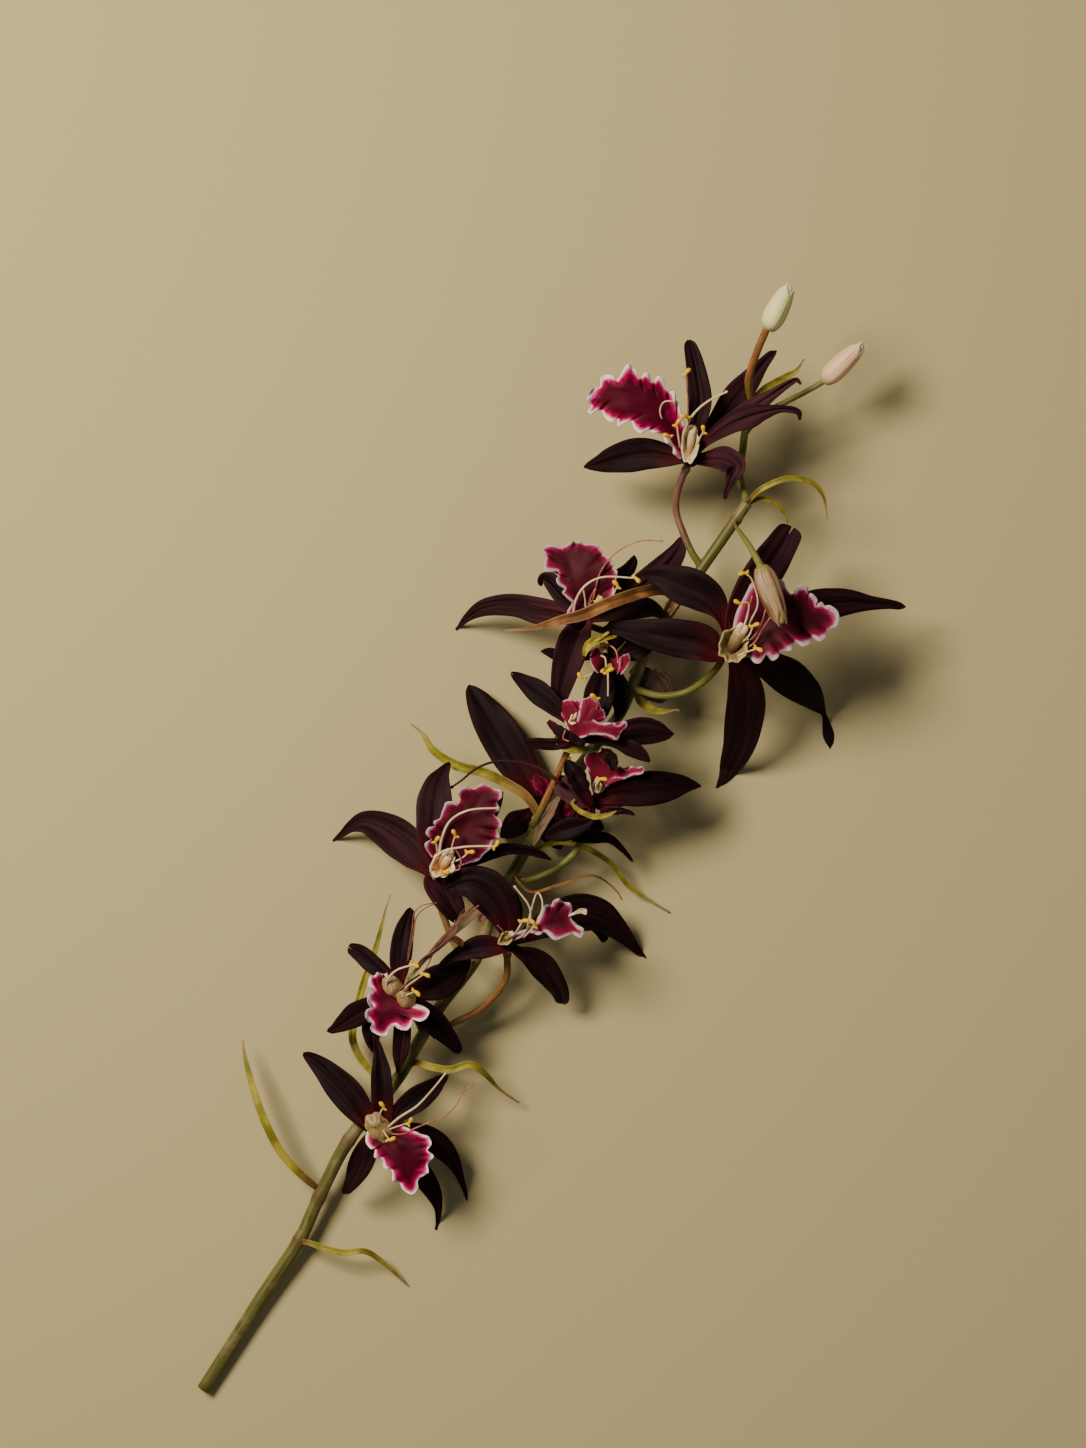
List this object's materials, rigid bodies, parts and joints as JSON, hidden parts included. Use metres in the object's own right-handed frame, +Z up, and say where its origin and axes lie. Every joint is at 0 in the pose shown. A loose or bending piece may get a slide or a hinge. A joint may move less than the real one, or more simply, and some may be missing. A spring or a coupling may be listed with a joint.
{
  "type": "orchid flower spray",
  "caption": "Cut spray of dark burgundy orchids with ruffled, pale-rimmed magenta lips, buds and bracts, lying flat.",
  "frame": {"origin": "on the table, under the middle of the whole spray's box", "axes": "+Z up from the table, +Y along the spray from its cut end to the buds, +X to the right seen from above"},
  "size_m": [0.2794, 0.4357, 0.0773],
  "materials": {
    "petal": "matte",
    "lip": "matte",
    "column": "satin",
    "stem": "satin",
    "bract": "matte",
    "bud": "satin"
  },
  "bodies": {
    "root": {"stem": "stem", "bloom_01_petals": "petal", "bloom_01_lip": "lip", "bloom_01_column": "column", "bloom_02_petals": "petal", "bloom_02_lip": "lip", "bloom_02_column": "column", "bloom_03_petals": "petal", "bloom_03_lip": "lip", "bloom_03_column": "column", "bloom_04_petals": "petal", "bloom_04_lip": "lip", "bloom_04_column": "column", "bloom_05_petals": "petal", "bloom_05_lip": "lip", "bloom_05_column": "column", "bloom_06_petals": "petal", "bloom_06_lip": "lip", "bloom_06_column": "column", "bloom_07_petals": "petal", "bloom_07_lip": "lip", "bloom_07_column": "column", "bloom_08_petals": "petal", "bloom_08_lip": "lip", "bloom_08_column": "column", "bloom_09_petals": "petal", "bloom_09_lip": "lip", "bloom_09_column": "column", "bloom_10_petals": "petal", "bloom_10_lip": "lip", "bloom_10_column": "column", "bloom_11_petals": "petal", "bud_01": "bud", "bud_02": "bud", "bud_03": "bud", "bract_01": "bract", "bract_02": "bract", "bract_03": "bract", "bract_04": "bract", "bract_05": "bract", "bract_06": "bract", "bract_07": "bract", "bract_08": "bract", "bract_09": "bract", "tendril_01": "bract", "tendril_02": "bract", "tendril_03": "bract"}
  },
  "joints": []
}
